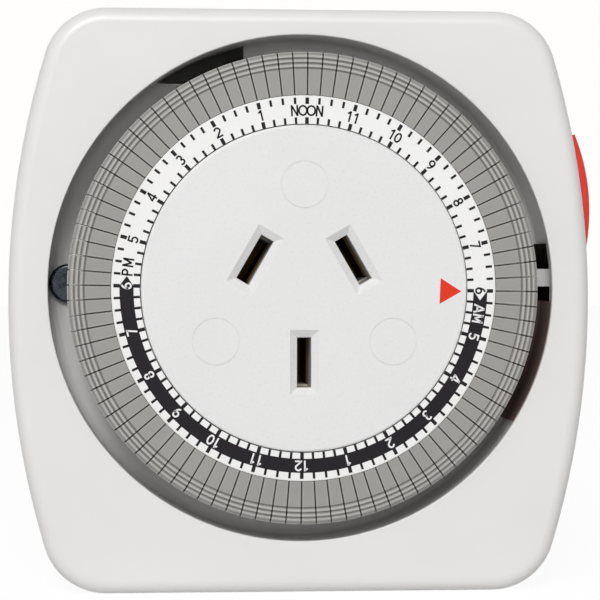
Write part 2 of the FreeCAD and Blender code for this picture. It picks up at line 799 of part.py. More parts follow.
def chassis_plate():
    low, high = plate_bottom, plate_top
    pieces = [disc(motor_radius, low, high, *motor_place)]
    arms = ((motor_place, plate_screws[0]), (motor_place, gear_2_place),
            (gear_1_place, gear_2_place), (gear_2_place, plate_screws[1]))
    pieces += [strap(start, end, strap_half_width, low, high) for start, end in arms]
    plate = joined(pieces)
    cuts = [disc(axle_radius, low, high, *gear_1_place), disc(axle_radius, low, high, *gear_2_place)]
    cuts.append(disc(2.6, low, high, *motor_place))
    cuts += [disc(screw_radius, low, high, x, z) for x, z in plate_screws]
    cuts += [disc(motor_screw_radius + fit, low, high, x, z) for x, z in motor_screw_places()]
    return plate.cut(Part.makeCompound(cuts))


def motor_screw_places():
    spread = motor_radius - 2.6
    return [(motor_x + dx, motor_z + dz) for dx, dz in (polar(spread, 110), polar(spread, 290))]


def motor_screws():
    screws = []
    for x, z in motor_screw_places():
        head = disc(motor_screw_head_radius, plate_top, plate_top + 0.55, x, z)
        shank = disc(motor_screw_radius, coil_high + fit, plate_top, x, z)
        screws.append(joined([head, shank]))
    return Part.makeCompound(screws)


def motor_case():
    case = disc(motor_radius, motor_bottom, motor_top - motor_wall, *motor_place)
    case = case.makeFillet(1.0, edges_at(case, motor_bottom))
    floor = motor_bottom + motor_wall
    case = case.cut(disc(motor_radius - motor_wall, floor, motor_top - motor_wall, *motor_place))
    bearing = ring(shaft_radius + fit, shaft_radius + 1.2, floor - 0.1, floor + 1.4, *motor_place)
    return joined([case, bearing])


def motor_cover():
    cover = disc(motor_radius, motor_top - motor_wall, motor_top, *motor_place)
    cuts = [disc(shaft_radius + fit, motor_top - motor_wall, motor_top, *motor_place)]
    cuts += [disc(motor_screw_radius + fit, motor_top - motor_wall, motor_top, x, z)
             for x, z in motor_screw_places()]
    return cover.cut(Part.makeCompound(cuts))


bobbin_inner = rotor_radius + 0.5
bobbin_outer = motor_radius - motor_wall - 0.2
coil_low = motor_bottom + motor_wall + bobbin_flange
coil_high = motor_top - motor_wall - bobbin_flange - slack


def motor_bobbin():
    low, high = coil_low - bobbin_flange, coil_high + bobbin_flange
    tube = ring(bobbin_inner, bobbin_inner + bobbin_flange, low, high, *motor_place)
    rims = [ring(bobbin_inner, bobbin_outer, low, coil_low, *motor_place),
            ring(bobbin_inner, bobbin_outer, coil_high, high, *motor_place)]
    body = joined([tube] + rims)
    holes = [disc(motor_screw_radius + 2 * slack, coil_high, high, x, z)
             for x, z in motor_screw_places()]
    return body.cut(Part.makeCompound(holes))


def motor_coil():
    return ring(bobbin_inner + bobbin_flange, bobbin_outer - 2.2, coil_low, coil_high, *motor_place)


def rotor_magnet():
    return ring(shaft_radius, rotor_radius, motor_bottom + motor_wall + 1.6, coil_high, *motor_place)


def motor_shaft():
    return disc(shaft_radius, motor_bottom + motor_wall + fit, wheel_1_high + 0.4, *motor_place)


def motor_pinion():
    solid = gear(pinion_teeth, train_module, wheel_1_low - 0.2, wheel_1_high + 0.2, motor_place,
                 gap_towards=gear_1_place)
    return solid.cut(disc(shaft_radius, wheel_1_low - 0.2, wheel_1_high + 0.2, *motor_place))


def gear_1():
    wheel = gear(wheel_teeth, train_module, wheel_1_low, wheel_1_high, gear_1_place,
                 tooth_towards=motor_place)
    pinion = gear(pinion_teeth, train_module, wheel_1_high - 0.1, wheel_2_high + 0.3, gear_1_place,
                  gap_towards=gear_2_place)
    hub = disc(1.7, plate_top + fit, wheel_1_low + 0.1, *gear_1_place)
    bore = disc(axle_radius + fit, plate_top, floor_bottom, *gear_1_place)
    return joined([wheel, pinion, hub]).cut(bore)


def clutch_sleeve():
    """Turns the dial pinion; the second wheel grips it between collar and washer."""
    hub = disc(hub_radius, plate_top + fit, wheel_2_low, *gear_2_place)
    collar = disc(2 * sleeve_radius, wheel_2_low - collar_thickness, wheel_2_low, *gear_2_place)
    sleeve = disc(sleeve_radius, wheel_2_low - collar_thickness, dial_pinion_low, *gear_2_place)
    neck = disc(hub_radius, dial_pinion_low, dial_pinion_high, *gear_2_place)
    bore = disc(axle_radius + fit, plate_top, dial_pinion_high, *gear_2_place)
    return joined([hub, collar, sleeve, neck]).cut(bore)


def gear_2():
    wheel = gear(wheel_teeth, train_module, wheel_2_low, wheel_2_high, gear_2_place,
                 tooth_towards=gear_1_place)
    return wheel.cut(disc(sleeve_radius + fit, wheel_2_low, wheel_2_high, *gear_2_place))


def dial_pinion():
    solid = gear(dial_pinion_teeth, dial_module, dial_pinion_low, dial_pinion_high, gear_2_place,
                 gap_towards=axis)
    return solid.cut(disc(hub_radius, dial_pinion_low, dial_pinion_high, *gear_2_place))


def clutch_washer():
    """Conical spring washer on the second wheel's sleeve."""
    height = clutch_ring_low - wheel_2_high
    base = Vector(gear_2_place[0], gear_2_place[1], wheel_2_high)
    hole = sleeve_radius + 2 * fit
    cone = Part.makeCone(clutch_washer_radius, hole + clutch_washer_wall, height, base)
    inside = Part.makeCone(clutch_washer_radius - clutch_washer_wall, hole, height, base)
    return cone.cut(inside)


def clutch_ring():
    """Push-on ring that keeps the clutch washer pressed."""
    return ring(sleeve_radius, sleeve_radius + 1.2, clutch_ring_low, clutch_ring_high, *gear_2_place)


def gear_axles():
    first = disc(axle_radius, plate_bottom, floor_bottom, *gear_1_place)
    second = disc(axle_radius, plate_bottom, axle_2_top, *gear_2_place)
    return Part.makeCompound([first, second])


def lead(points, bend):
    """A round wire along two straight runs with a bend between them."""
    start, corner, end = [Vector(*point) for point in points]
    to_start = (start - corner).normalize()
    to_end = (end - corner).normalize()
    half_turn = (math.pi - to_start.getAngle(to_end)) / 2
    setback = bend * math.tan(half_turn)
    arc_start, arc_end = corner + to_start * setback, corner + to_end * setback
    inward = (to_start + to_end).normalize()
    arc_middle = corner + inward * (bend / math.cos(half_turn) - bend)
    edges = [Part.LineSegment(start, arc_start).toShape(),
             Part.Arc(arc_start, arc_middle, arc_end).toShape(),
             Part.LineSegment(arc_end, end).toShape()]
    section = Part.Wire(Part.makeCircle(lead_radius, start, corner - start))
    return Part.Wire(edges).makePipeShell([section], True, False)


def motor_lead_live():
    """From the motor's side to the edge of the supply strip."""
    h = live_strip_low + lead_radius
    bend_z = (live_place[1] + crossing_z) / 2
    strip_side = live_place[0] - (strip_width - strip_margin) / 2
    start = (motor_x, motor_z + motor_radius, h)
    return lead([start, (motor_x, bend_z, h), (strip_side, bend_z, h)], lead_bend)


def motor_lead_neutral():
    """From the motor's side, past the earth pin, to the neutral contact's stem."""
    h = live_strip_low + lead_radius + 0.3
    facing = neutral_place[2] - 90
    back_x, back_z = polar(contact_stem / 2, facing)
    run_x, run_z = polar(neutral_lead_run, facing)
    end = (neutral_place[0] - back_x, neutral_place[1] - back_z, h)
    corner = (end[0] - run_x, end[1] - run_z, h)
    away = math.degrees(math.atan2(corner[1] - motor_z, corner[0] - motor_x))
    x, z = polar(motor_radius, away)
    return lead([(motor_x + x, motor_z + z, h), corner, end], lead_bend)


# Switch

def pin_along_x(h, z, left, right, grow=0.0):
    return Part.makeCylinder(pivot_pin_radius + grow, right - left, Vector(left, z, h), Vector(1, 0, 0))


def follower_pin():
    gap = follower_head_length / 2
    left, right = switch_x - gap - pin_end, switch_x + gap + pin_end
    return pin_along_x(follower_pivot_h, follower_pivot_z, left, right)


def switch_follower():
    """The lever under the dial: its head feels the pushed segments."""
    half = follower_head_length / 2
    low = follower_pivot_h - follower_thickness / 2
    high = low + follower_thickness
    head_z = follower_pivot_z + follower_reach
    head_half = follower_head_width / 2
    boss = Part.makeCylinder(1.9, 2 * half, Vector(switch_x - half, follower_pivot_z, follower_pivot_h),
                             Vector(1, 0, 0))
    arm = block(switch_x - half, switch_x + half, follower_pivot_z, head_z + head_half, low, high)
    head = block(switch_x - half, well_radius + follower_head_beyond, head_z - head_half,
                 head_z + head_half, floor_bottom, head_top)
    neck = block(switch_x - half, switch_x + half, head_z - head_half, head_z + head_half,
                 high - 0.2, floor_bottom + 0.1)
    nose_z = follower_pivot_z + nose_reach
    nose = block(switch_x - 1.0, switch_x + 1.0, nose_z - 0.8, nose_z + 0.8, blade_top + fit, low + 0.2)
    lever = joined([boss, arm, neck, head, nose])
    bore = pin_along_x(follower_pivot_h, follower_pivot_z, switch_left - 3, switch_right + 3, fit)
    return lever.cut(bore)


def moving_blade():
    blade = block(switch_left, switch_right, blade_anchor_z - anchor_length, rivet_z + blade_tip,
                  blade_bottom, blade_top)
    return blade.cut(disc(rivet_stem_radius, blade_bottom, blade_top, switch_x, rivet_z))


def contact_rivet(low, high, stem_low, stem_high):
    head = disc(rivet_radius, low, high, switch_x, rivet_z)
    return joined([head, disc(rivet_stem_radius, stem_low, stem_high, switch_x, rivet_z)])


def fixed_strip():
    """The switched live strip: from the live contact's stem to the fixed rivet."""
    width = strip_width
    route = [(switch_x, rivet_z), (switch_x, crossing_z), (live_place[0], crossing_z), live_place[:2]]
    body = strip(route, width, fixed_strip_bottom, fixed_strip_top)
    tab_end = tail_end_x + tab_beyond
    tab = block(tab_end - tab_width, tab_end, override_tab_z, override_tab_z + strip_thickness,
                fixed_strip_top - 0.1, tail_high - blade_edge_gap)
    hole = disc(rivet_stem_radius, fixed_strip_bottom, fixed_strip_top, switch_x, rivet_z)
    return joined([body, tab]).cut(hole)


def supply_strip():
    """The supply live strip: from the plug pin to the posts of both blades."""
    run_x = override_anchor_x
    anchor_z = blade_anchor_z - anchor_length / 2
    route = [live_place[:2], (live_place[0], crossing_z), (run_x, crossing_z),
             (run_x, anchor_z), (switch_x, anchor_z)]
    body = strip(route, strip_width - strip_margin, live_strip_low, live_strip_high)
    anchor = block(switch_left, switch_right, blade_anchor_z - anchor_length, blade_anchor_z,
                   live_strip_low, blade_bottom)
    post_side = override_low_z + blade_thickness
    override_post = block(run_x - override_clamp, run_x, post_side, post_side + override_post_thickness,
                          live_strip_high - 0.1, tail_high - blade_edge_gap)
    return joined([body, anchor, override_post])


def override_blade():
    """A leaf on edge: the rocker's tail bends it against the switched strip's tab."""
    return block(override_anchor_x - override_clamp, tail_end_x + tab_beyond, override_low_z,
                 override_low_z + blade_thickness, tail_low + blade_edge_gap, tail_high - blade_edge_gap)


def switch_guard():
    """A dark fibre sheet along the side wall, cut out round the follower's ear."""
    sheet = housing_block(wall, guard_low, front_height - wall)
    sheet = sheet.cut(housing_block(wall + guard_thickness, guard_low, front_height - wall))
    sheet = sheet.common(block(0, half_width, guard_bottom, guard_top, guard_low, front_height))
    ear = ear_reach + slack
    return sheet.cut(block(0, half_width, guard_bottom - 1, follower_pivot_z + ear,
                           guard_low, floor_bottom + 0.2 + slack))


def override_rocker():
    """The red button, drawn square to its pivot and then tipped, lower end out."""
    face_x = side_x(rocker_z) + rocker_stand_out
    centre_x = face_x - rocker_face_radius
    low_z, high_z = rocker_z - rocker_half_length, rocker_z + rocker_half_length
    outer = disc(rocker_face_radius, rocker_low, rocker_high, centre_x, rocker_z)
    outer = outer.makeFillet(0.6, edges_at(outer, rocker_low) + edges_at(outer, rocker_high))
    back_x = rocker_pivot_x + rocker_back
    cap = outer.common(block(back_x, face_x + 1, low_z, high_z, rocker_low, rocker_high))
    boss = disc(rocker_boss_radius, rocker_low, rocker_high, rocker_pivot_x, rocker_z)
    web = block(rocker_pivot_x, back_x + 0.2, rocker_z - rocker_boss_radius,
                rocker_z + rocker_boss_radius, rocker_low, rocker_high)
    button = turned(joined([cap, boss, web]), rocker_tilt, rocker_pivot_x, rocker_z)
    tail = block(tail_end_x - 0.6, rocker_pivot_x, rocker_z - rocker_tail_half,
                 rocker_z + rocker_tail_half, tail_low, tail_high)
    button = joined([button, tail])
    return button.cut(disc(pivot_pin_radius + fit, tail_low, rocker_high, rocker_pivot_x, rocker_z))


def override_pin():
    return disc(pivot_pin_radius, rocker_low - 2.0, rocker_high + 2.0, rocker_pivot_x, rocker_z)


def save(name, shape):
    """Turn a piece from the drawing to its place in the part and write it."""
    placed = shape.copy()
    placed.rotate(Vector(0, 0, 0), Vector(1, 0, 0), 90)
    placed.exportStep("parts/" + name + ".step")


first_loose_segment = 24        # 6 in the evening
loose_segments = 12             # up to 9 in the evening


def segment_name(index):
    minutes = (12 * 60 + 15 * index) % (24 * 60)
    return "segment_%02d%02d" % divmod(minutes, 60)


def write_segments():
    loose = range(first_loose_segment, first_loose_segment + loose_segments)
    for index in loose:
        save(segment_name(index), segment(index))
    rest = [segment(index) for index in range(segment_count) if index not in loose]
    save("segment_set", Part.makeCompound(rest))


def main():
    os.makedirs("parts", exist_ok=True)
    pieces = {
        "front_housing": front_housing(),
        "rear_housing": rear_housing(),
        "housing_screws": housing_screws(),
        "chassis_screws": chassis_screws(),
        "socket_face": socket_face(),
        "contact_carrier": contact_carrier(),
        "contact_live": contact_clip(live_place, fixed_strip_top),
        "contact_neutral": contact_clip(neutral_place, pin_inner_height),
        "contact_earth": contact_clip(earth_place, pin_inner_height),
        "plug_pin_live": plug_pin(live_place, live_pin_length, True),
        "plug_pin_neutral": plug_pin(neutral_place, live_pin_length, True),
        "plug_pin_earth": plug_pin(earth_place, earth_pin_length, False),
        "pin_sleeves": Part.makeCompound([pin_sleeve(live_place), pin_sleeve(neutral_place)]),
        "dial_ring": dial_ring(),
        "dial_gear": dial_gear(),
        "slip_washer": slip_washer(),
        "chassis_plate": chassis_plate(),
        "motor_case": motor_case(),
        "motor_cover": motor_cover(),
        "motor_bobbin": motor_bobbin(),
        "motor_coil": motor_coil(),
        "motor_screws": motor_screws(),
        "motor_lead_live": motor_lead_live(),
        "motor_lead_neutral": motor_lead_neutral(),
        "rotor_magnet": rotor_magnet(),
        "motor_shaft": motor_shaft(),
        "motor_pinion": motor_pinion(),
        "gear_1": gear_1(),
        "gear_2": gear_2(),
        "clutch_sleeve": clutch_sleeve(),
        "clutch_ring": clutch_ring(),
        "dial_pinion": dial_pinion(),
        "clutch_washer": clutch_washer(),
        "gear_axles": gear_axles(),
        "switch_follower": switch_follower(),
        "follower_pin": follower_pin(),
        "moving_blade": moving_blade(),
        "moving_rivet": contact_rivet(moving_rivet_bottom, blade_bottom, blade_bottom, blade_top),
        "fixed_strip": fixed_strip(),
        "fixed_rivet": contact_rivet(fixed_strip_top, fixed_rivet_top, fixed_strip_bottom, fixed_strip_top),
        "supply_strip": supply_strip(),
        "override_rocker": override_rocker(),
        "override_pin": override_pin(),
        "override_blade": override_blade(),
        "switch_guard": switch_guard(),
    }
    for name, shape in pieces.items():
        save(name, shape)
    write_segments()


main()
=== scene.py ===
# %% [markdown]
# # A plug-in 24 hour timer switch
#
# The solids come from the CAD model and stay as they are. This script gives
# each of them a material, prints the hour scale and the red arrow on top, and
# sets up a pale floor, soft lamps and the camera of the photograph.

import math

import bmesh
import bpy
from mathutils import Matrix, Vector


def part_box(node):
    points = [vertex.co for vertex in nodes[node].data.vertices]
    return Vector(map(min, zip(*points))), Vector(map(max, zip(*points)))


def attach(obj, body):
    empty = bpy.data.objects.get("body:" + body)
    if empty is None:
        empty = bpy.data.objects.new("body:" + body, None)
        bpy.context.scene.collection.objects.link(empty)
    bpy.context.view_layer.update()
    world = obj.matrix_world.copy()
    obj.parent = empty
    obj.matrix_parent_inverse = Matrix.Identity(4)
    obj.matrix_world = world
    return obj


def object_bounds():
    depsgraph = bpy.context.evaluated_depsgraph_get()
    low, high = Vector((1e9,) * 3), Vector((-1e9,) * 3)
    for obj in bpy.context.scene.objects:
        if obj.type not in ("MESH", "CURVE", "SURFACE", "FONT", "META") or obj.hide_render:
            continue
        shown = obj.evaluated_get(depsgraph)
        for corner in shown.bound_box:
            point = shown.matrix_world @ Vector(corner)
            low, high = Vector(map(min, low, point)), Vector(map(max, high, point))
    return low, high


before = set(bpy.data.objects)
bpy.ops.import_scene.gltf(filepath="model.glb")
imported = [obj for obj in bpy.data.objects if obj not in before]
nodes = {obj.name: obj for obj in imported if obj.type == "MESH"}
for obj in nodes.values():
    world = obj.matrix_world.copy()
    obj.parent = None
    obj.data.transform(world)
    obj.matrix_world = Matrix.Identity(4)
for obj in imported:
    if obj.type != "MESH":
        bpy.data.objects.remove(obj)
cad_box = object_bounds()
mm = 0.001

print("nodes from the CAD model:", len(nodes))

# %% [markdown]
# ## Colours and a moulded plastic
#
# The housing, disc, dial and segments are injection mouldings: one colour all
# through, a fine grain from the mould, and a soft gloss. A flat colour would be
# the short way, but it looks like paper. Here every plastic shares one recipe:
# a broad, faint drift of the colour, as pigment never mixes evenly, the grain
# as a slight bump, and a gloss that changes a little with it. One function
# builds them all, so the whole object looks like one make. Colours are written
# as they look on a screen, 0 to 255, and turned into the linear values that
# Blender works with.


# %% Helpers for colours and materials
def linear(value):
    value /= 255.0
    if value <= 0.04045:
        return value / 12.92
    return ((value + 0.055) / 1.055) ** 2.4


def colour(red, green, blue, factor=1.0):
    return tuple(linear(part) * factor for part in (red, green, blue)) + (1.0,)


def new_material(name):
    """A new material with a Principled shader, and its tree of nodes."""
    material = bpy.data.materials.new(name)
    material.use_nodes = True
    return material, material.node_tree


def add_node(tree, kind, **values):
    node = tree.nodes.new(kind)
    for name, value in values.items():
        if name in node.inputs:
            node.inputs[name].default_value = value
        else:
            setattr(node, name, value)
    return node


def noise(tree, size, detail=2.0, stretch=(1.0, 1.0, 1.0)):
    """Noise whose features are about size metres across, in the piece's own coordinates."""
    place = add_node(tree, "ShaderNodeTexCoord")
    scaled = add_node(tree, "ShaderNodeMapping", Scale=stretch)
    texture = add_node(tree, "ShaderNodeTexNoise", Scale=1.0 / size, Detail=detail)
    tree.links.new(place.outputs["Object"], scaled.inputs["Vector"])
    tree.links.new(scaled.outputs["Vector"], texture.inputs["Vector"])
    return texture.outputs["Fac"]


def spread(tree, source, low, high):
    """Map the middle of a noise to the range low to high."""
    node = add_node(tree, "ShaderNodeMapRange")
    for name, value in (("From Min", 0.3), ("From Max", 0.7), ("To Min", low), ("To Max", high)):
        node.inputs[name].default_value = value
    tree.links.new(source, node.inputs["Value"])
    return node.outputs["Result"]


def mixed_colour(tree, factor, first, second):
    node = add_node(tree, "ShaderNodeMix", data_type="RGBA")
    node.inputs[6].default_value = first
    node.inputs[7].default_value = second
    tree.links.new(factor, node.inputs["Factor"])
    return node.outputs[2]


def bumped(tree, height, strength, distance):
    node = add_node(tree, "ShaderNodeBump", Strength=strength, Distance=distance)
    tree.links.new(height, node.inputs["Height"])
    return node.outputs["Normal"]


def rounded(tree, radius):
    """Shading as if every edge had a small radius, as mouldings have."""
    node = add_node(tree, "ShaderNodeBevel", Radius=radius)
    node.samples = 4
    return node.outputs["Normal"]


def plastic(name, shade, gloss, grain=0.00035, relief=0.25, drift=0.04, subsurface=0.0, edge=0.0):
    """Moulded plastic of one colour: gloss is its roughness, grain its texture's size."""
    material, tree = new_material(name)
    shader = tree.nodes["Principled BSDF"]
    darker = tuple(part * (1 - drift) for part in shade[:3]) + (1.0,)
    broad = spread(tree, noise(tree, 0.012, 3.0), 0.0, 1.0)
    tree.links.new(mixed_colour(tree, broad, shade, darker), shader.inputs["Base Color"])
    fine = noise(tree, grain, 3.0)
    tree.links.new(spread(tree, fine, gloss - 0.05, gloss + 0.05), shader.inputs["Roughness"])
    relief_normal = bumped(tree, fine, relief, 0.00002)
    if edge:
        tree.links.new(rounded(tree, edge), relief_normal.node.inputs["Normal"])
    tree.links.new(relief_normal, shader.inputs["Normal"])
    shader.inputs["IOR"].default_value = 1.5
    if subsurface:
        shader.inputs["Subsurface Weight"].default_value = subsurface
        shader.inputs["Subsurface Radius"].default_value = (0.0012, 0.001, 0.0008)
        shader.inputs["Subsurface Scale"].default_value = 1.0
    return material


def metal(name, shade, gloss, brushed=(1.0, 1.0, 1.0), relief=0.15, tarnish=0.12):
    """Bare or plated metal: faint tarnish, and a brushed grain stretched along one axis."""
    material, tree = new_material(name)
    shader = tree.nodes["Principled BSDF"]
    dull = tuple(part * (1 - tarnish) for part in shade[:3]) + (1.0,)
    cloudy = spread(tree, noise(tree, 0.004, 4.0), 0.0, 1.0)
    tree.links.new(mixed_colour(tree, cloudy, shade, dull), shader.inputs["Base Color"])
    grain = noise(tree, 0.00025, 2.0, brushed)
    tree.links.new(spread(tree, grain, gloss - 0.08, gloss + 0.08), shader.inputs["Roughness"])
    tree.links.new(bumped(tree, grain, relief, 0.00001), shader.inputs["Normal"])
    shader.inputs["Metallic"].default_value = 1.0
    return material


# %% [markdown]
# ## One material for each kind of piece
#
# The CAD model names a slot for each material, such as `housing_white`. One
# could dress every piece by hand, but a table with one look for each slot keeps
# pieces of one kind alike, so every node takes the look that its slot names.
# The whites of the disc, of the ring and of the housing differ a little, as
# mouldings from different tools do. The socket contacts are brass, darkened
# well below the other brass as painted shade for the deep slots they sit in.
# Each node also gets a modifier that lets its large faces shade as flat or round
# as they are, right up to their small fillets.

# %% The looks
along_axis = (1.0, 0.05, 1.0)
looks = {
    "housing_white": plastic("housing_white", colour(229, 228, 227), 0.34, 0.0005, 0.2, 0.02, 0.05),
    "disc_white": plastic("disc_white", colour(230, 230, 230), 0.3, 0.0004, 0.15, 0.02, 0.05),
    "dial_white": plastic("dial_white", colour(240, 240, 239), 0.38, 0.0004, 0.15, 0.02, 0.05),
    "segment_grey": plastic("segment_grey", colour(152, 151, 148), 0.42, 0.0003, 0.6, 0.06, 0.0, 0.00006),
    "rocker_red": plastic("rocker_red", colour(230, 44, 22), 0.34, 0.0004, 0.2, 0.05),
    "follower_white": plastic("follower_white", colour(238, 238, 238), 0.4, 0.0004, 0.2),
    "carrier_nylon": plastic("carrier_nylon", colour(188, 184, 176), 0.5, 0.0005, 0.3),
    "guard_fibre": plastic("guard_fibre", colour(92, 74, 70), 0.6, 0.0004, 0.4, 0.2),
    # painted shade: the colour of the dark strip laid in the well's gap
    "strip_fibre": plastic("strip_fibre", colour(124, 104, 100), 0.6, 0.0004, 0.4, 0.2),
    "gear_nylon": plastic("gear_nylon", colour(222, 216, 198), 0.42, 0.0004, 0.2, 0.06, 0.1),
    "bobbin_nylon": plastic("bobbin_nylon", colour(70, 96, 120), 0.45, 0.0005, 0.3),
    "washer_nylon": plastic("washer_nylon", colour(214, 206, 186), 0.5, 0.0005, 0.3),
    "sleeve_black": plastic("sleeve_black", colour(34, 32, 34), 0.5, 0.0004, 0.2, 0.15),
    "lead_red": plastic("lead_red", colour(178, 34, 28), 0.4, 0.0006, 0.2, 0.08),
    "lead_black": plastic("lead_black", colour(32, 32, 34), 0.4, 0.0006, 0.2, 0.1),
    # darkened brass: painted shade for the contacts deep in the slots
    "contact_brass_painted_shade": metal("contact_brass_painted_shade", colour(92, 72, 44), 0.5, (1.0, 1.0, 0.08), 0.3, 0.4),
    "brass": metal("brass", colour(214, 178, 96), 0.32, (1.0, 1.0, 0.08)),
    "pin_brass": metal("pin_brass", colour(218, 190, 118), 0.26, along_axis),
    "spring_bronze": metal("spring_bronze", colour(196, 142, 92), 0.3, (1.0, 1.0, 0.06)),
    "contact_silver": metal("contact_silver", colour(222, 220, 212), 0.28),
    "coil_copper": metal("coil_copper", colour(184, 94, 52), 0.34, (0.4, 4.0, 0.4), 0.6),
    "zinc_steel": metal("zinc_steel", colour(188, 190, 192), 0.3, along_axis),
    "dark_screw": metal("dark_screw", colour(92, 96, 106), 0.3, (1.0, 1.0, 1.0), 0.9, 0.5),
    "chassis_steel": metal("chassis_steel", colour(176, 178, 180), 0.34, (0.06, 1.0, 1.0)),
    "motor_tin": metal("motor_tin", colour(200, 200, 198), 0.3, (1.0, 0.05, 1.0)),
    "ferrite": plastic("ferrite", colour(58, 56, 56), 0.55, 0.0003, 0.6, 0.2),
}

for name, node in nodes.items():
    for place in node.material_slots:
        place.material = looks[place.material.name.split(".")[0]]
    # the contacts take the darkened brass, painted shade for the deep slots
    if name in ("contact_live", "contact_neutral", "contact_earth"):
        node.material_slots[0].material = looks["contact_brass_painted_shade"]
    crisp = node.modifiers.new("crisp", "WEIGHTED_NORMAL")
    crisp.keep_sharp = True

print("materials:", len(looks))


# %% [markdown]
# ## The segments' finger grooves
#
# Each grey segment is a small slide with three grooves near its outer end, for
# a fingernail. The model has the grooves and the narrow gaps. Their light and
# shade is painted into the grey as well: a painted highlight on the ridges
# between the grooves, painted shade in the grooves and along the gaps, and a
# painted highlight beside each gap. An image could show that, but would need a
# place on every segment.
# Both follow the radius and the angle round the dial, so a few steps of
# arithmetic in one material serve all ninety-six, also when the dial turns.

# %% Grooves and gaps
noon_angle = 89.25              # degrees, anticlockwise from the right
quarter = 3.75
groove_radius = 30.55 * mm      # the innermost of the three grooves
groove_step = 0.675 * mm
# strengths of the painted shade and painted highlights on the segments' grey
groove_contrast = 0.34
ridge_light = 0.1
gap_dark = 0.6
gap_light = 0.2


def calculate(tree, operation, first, second=0.0):
    """One step of arithmetic on sockets or numbers."""
    node = add_node(tree, "ShaderNodeMath", operation=operation)
    for place, value in enumerate((first, second)):
        if isinstance(value, (int, float)):
            node.inputs[place].default_value = value
        else:
            tree.links.new(value, node.inputs[place])
    return node.outputs[0]


def smooth(tree, source, start, end, low, high):
    """A smooth change from low to high while source goes from start to end."""
    node = add_node(tree, "ShaderNodeMapRange", interpolation_type="SMOOTHSTEP")
    for name, value in (("From Min", start), ("From Max", end), ("To Min", low), ("To Max", high)):
        node.inputs[name].default_value = value
    tree.links.new(source, node.inputs["Value"])
    return node.outputs["Result"]


def groove_shade(tree, radius):
    """Painted shading: 0 on the plain part, a painted highlight on the ridges between the grooves and
    painted shade in the grooves.
    """
    turns = calculate(tree, "MULTIPLY", calculate(tree, "SUBTRACT", radius, groove_radius),
                      2 * math.pi / groove_step)
    wave = calculate(tree, "COSINE", turns)
    where = smooth(tree, radius, groove_radius - 0.3 * mm, groove_radius - 0.1 * mm, 0.0, 1.0)
    change = calculate(tree, "MULTIPLY", calculate(tree, "MULTIPLY", wave, -groove_contrast), where)
    return calculate(tree, "ADD", change, calculate(tree, "MULTIPLY", where, ridge_light))


def gap_shade(tree, radius, angle):
    """Painted shade along the gaps between segments, with a painted highlight beside them."""
    pitch = math.radians(quarter)
    past_noon = calculate(tree, "SUBTRACT", angle, math.radians(noon_angle))
    turns = calculate(tree, "DIVIDE", past_noon, pitch)
    part = calculate(tree, "FRACT", turns)
    nearer = calculate(tree, "MINIMUM", part, calculate(tree, "SUBTRACT", 1.0, part))
    away = calculate(tree, "MULTIPLY", calculate(tree, "MULTIPLY", nearer, pitch), radius)
    # painted shade right at the gap, then a painted highlight of a rounded edge
    dark = smooth(tree, away, 0.10 * mm, 0.18 * mm, -gap_dark, 0.0)
    light = smooth(tree, away, 0.16 * mm, 0.36 * mm, gap_light, 0.0)
    return calculate(tree, "ADD", dark, light)


def paint_groove_and_gap_shading(material):
    """Multiply the material's colour by one plus the painted shade and highlights of the grooves and
    gaps.
    """
    tree = material.node_tree
    place = add_node(tree, "ShaderNodeTexCoord")
    parts = add_node(tree, "ShaderNodeSeparateXYZ")
    tree.links.new(place.outputs["Object"], parts.inputs["Vector"])
    across, up = parts.outputs["X"], parts.outputs["Z"]
    squares = calculate(tree, "ADD", calculate(tree, "MULTIPLY", across, across),
                        calculate(tree, "MULTIPLY", up, up))
    radius = calculate(tree, "SQRT", squares)
    angle = calculate(tree, "ARCTAN2", up, across)
    shade = calculate(tree, "ADD", groove_shade(tree, radius), gap_shade(tree, radius, angle))
    factor = calculate(tree, "ADD", shade, 1.0)
    shader = tree.nodes["Principled BSDF"]
    plain = shader.inputs["Base Color"].links[0].from_socket
    scaled = add_node(tree, "ShaderNodeVectorMath", operation="SCALE")
    tree.links.new(plain, scaled.inputs[0])
    tree.links.new(factor, scaled.inputs["Scale"])
    tree.links.new(scaled.outputs[0], shader.inputs["Base Color"])


paint_groove_and_gap_shading(looks["segment_grey"])
print("segment material has", len(looks["segment_grey"].node_tree.nodes), "nodes")

# %% [markdown]
# ## Ink
#
# The scale and the arrow are pad printed. Such ink is thin and dull, so it
# mirrors much less of the room than the glossy mouldings under it. It uses the
# recipe for plastic with a weaker reflection, so black stays black.

# %% Ink
def ink_look(name, shade):
    """A dull ink of one colour."""
    material = plastic(name, shade, 0.55, 0.0003, 0.15, 0.06)
    material.node_tree.nodes["Principled BSDF"].inputs["Specular IOR Level"].default_value = 0.15
    return material


black_ink = ink_look("black_ink", colour(30, 27, 31))
white_ink = ink_look("white_ink", colour(240, 240, 240))
red_ink = ink_look("red_ink", colour(229, 58, 36))

# %% [markdown]
# ## Where the print goes
#
# Printing is a thin layer of ink. It could be a pattern in the ring's material,
# but letters are hard to write with nodes, so each print is a real layer a
# fiftieth of a millimetre thick that lies on its moulding. Text objects could
# give the letters, but made as bold as the print, their corners fill up, so the
# letters are drawn here as strokes of even width. The sizes that the CAD boxes
# give are read from them, so the print follows if the model changes: the ring's
# face is the front of `dial_ring`, and its inner edge is just outside the disc.
# Angles run anticlockwise from the right, seen from the front, and the dial
# stands a little past noon.

# %% Places and letters
ink = 0.02 * mm
disc_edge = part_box("socket_face")[1].x
disc_front = -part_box("socket_face")[0].y
scale_front = -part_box("dial_ring")[0].y
scale_inner = disc_edge + 0.15 * mm
scale_width = 3.85 * mm
scale_outer = scale_inner + scale_width


def quarter_angle(quarters):
    """Where a quarter of an hour after noon stands; the hours run to the left."""
    return noon_angle + quarters * quarter


